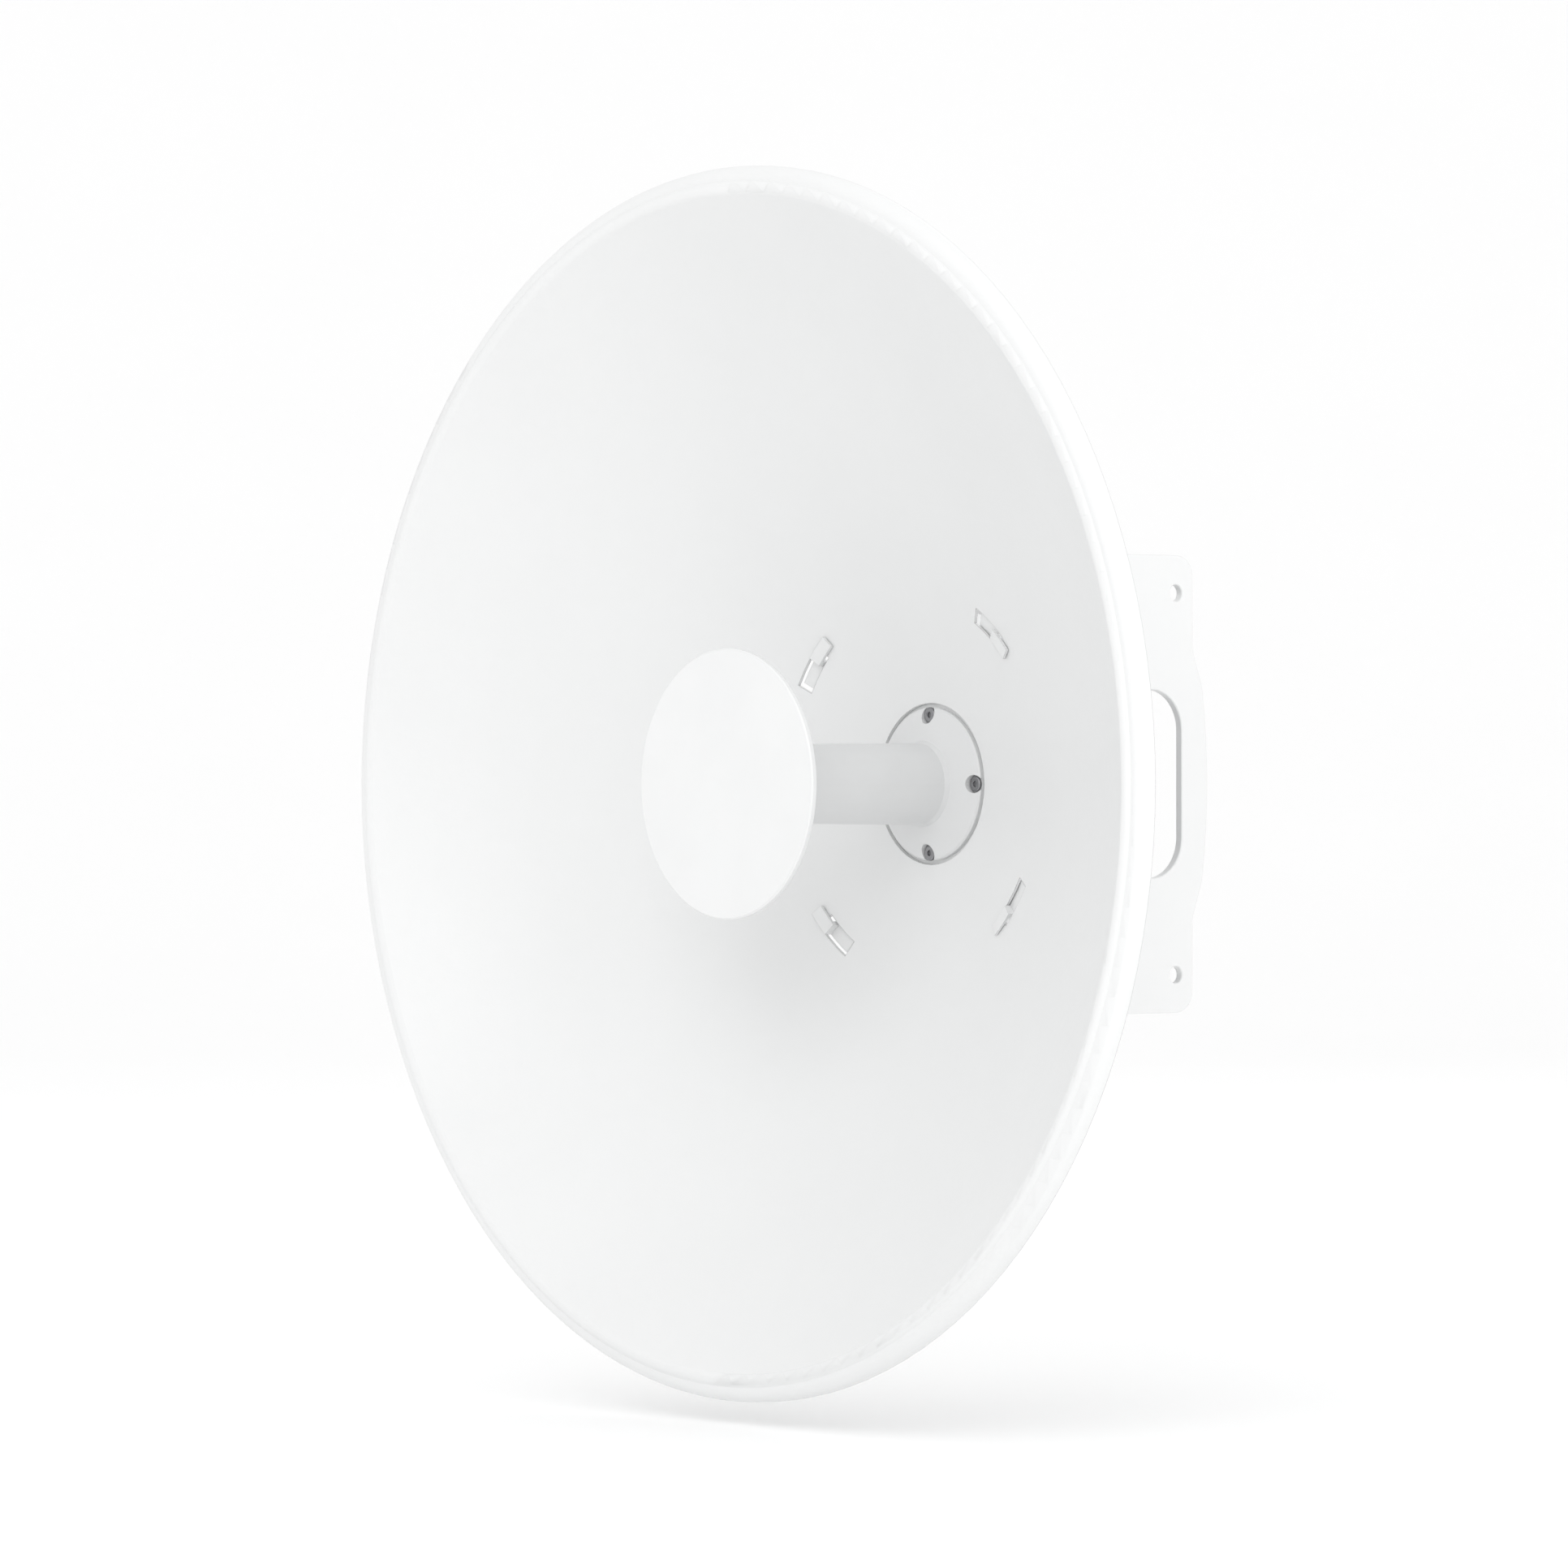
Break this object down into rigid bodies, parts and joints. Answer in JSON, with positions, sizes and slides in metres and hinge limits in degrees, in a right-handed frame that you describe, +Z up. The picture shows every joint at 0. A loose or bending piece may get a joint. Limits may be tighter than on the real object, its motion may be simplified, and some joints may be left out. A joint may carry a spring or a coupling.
{
  "type": "outdoor wireless bridge dish antenna",
  "caption": "White parabolic dish antenna with splash-plate feed, built-in radio, twist-lock mount ring, tilt bracket and pole clamp.",
  "frame": {"origin": "on the pole axis, at the height of the dish axis and of the tilt pivot line", "axes": "+Z up along the pole, -Y the way the dish faces, +X to the right seen from behind the dish looking the way it faces is -X"},
  "size_m": [0.65, 0.2987, 0.65],
  "materials": {
    "white_coat": "satin",
    "cover_coat": "satin",
    "white_plastic": "satin",
    "natural_plastic": "satin",
    "black_plastic": "matte",
    "grey_plastic": "satin",
    "black_rubber": "matte",
    "grey_pad": "matte",
    "steel": "satin",
    "galvanised": "satin",
    "cast_alloy": "satin",
    "aluminium": "satin",
    "tin": "satin",
    "brass": "satin",
    "board_green": "satin",
    "lens_clear": "gloss"
  },
  "bodies": {
    "pole_side": {"pole_bracket": "galvanised", "front_saddles": "cast_alloy", "clamp_bolts": "galvanised", "pivot_bolts": "galvanised", "lock_bolts": "galvanised", "tilt_washers": "galvanised", "tilt_nuts": "galvanised"},
    "antenna": {"board_screws": "steel", "cover_screws": "steel", "disk_cover": "white_plastic", "feed_base": "white_plastic", "feed_cone": "white_plastic", "feed_gasket": "black_rubber", "feed_lens": "natural_plastic", "feed_screws": "steel", "ground_screw": "brass", "guide_spacers": "natural_plastic", "hook_rivets": "aluminium", "launch_cup": "aluminium", "light_pipes": "lens_clear", "line_transformer": "black_plastic", "lock_hooks": "white_coat", "main_board": "board_green", "mount_ring": "white_coat", "network_jack": "tin", "probe_pins": "brass", "radio_chips": "black_plastic", "radio_cover": "cover_coat", "radio_shell": "white_plastic", "reflector": "white_coat", "reset_switch": "black_plastic", "ring_bolts": "steel", "ring_nuts": "steel", "shield_can": "tin", "splash_plate": "aluminium", "status_leds": "lens_clear", "thermal_pad": "grey_pad", "tilt_bracket": "white_coat", "vent_plug": "black_plastic", "waveguide": "aluminium"},
    "upper_jaw": {"upper_saddle": "cast_alloy", "upper_washers": "galvanised", "upper_nuts": "galvanised"},
    "lower_jaw": {"lower_saddle": "cast_alloy", "lower_washers": "galvanised", "lower_nuts": "galvanised"},
    "door": {"port_door": "white_plastic", "door_pin": "steel", "cable_seal": "black_rubber"},
    "button": {"reset_button": "grey_plastic"}
  },
  "joints": [
    {"name": "elevation_tilt", "type": "hinge", "parent": "pole_side", "child": "antenna", "pos_m": [0, -0.05, 0], "axis": [1, 0, 0], "range_deg": [-15, 15]},
    {"name": "upper_jaw_slide", "type": "slide", "parent": "pole_side", "child": "upper_jaw", "axis": [0, 1, 0], "range_m": [0, 0.008]},
    {"name": "lower_jaw_slide", "type": "slide", "parent": "pole_side", "child": "lower_jaw", "axis": [0, 1, 0], "range_m": [0, 0.008]},
    {"name": "port_door_hinge", "type": "hinge", "parent": "antenna", "child": "door", "pos_m": [0, -0.071, -0.0576], "axis": [1, 0, 0], "range_deg": [0, 105]},
    {"name": "reset_press", "type": "slide", "parent": "antenna", "child": "button", "axis": [0, 0, 1], "range_m": [0, 0.0006], "stiffness_N_per_m": 1500}
  ]
}
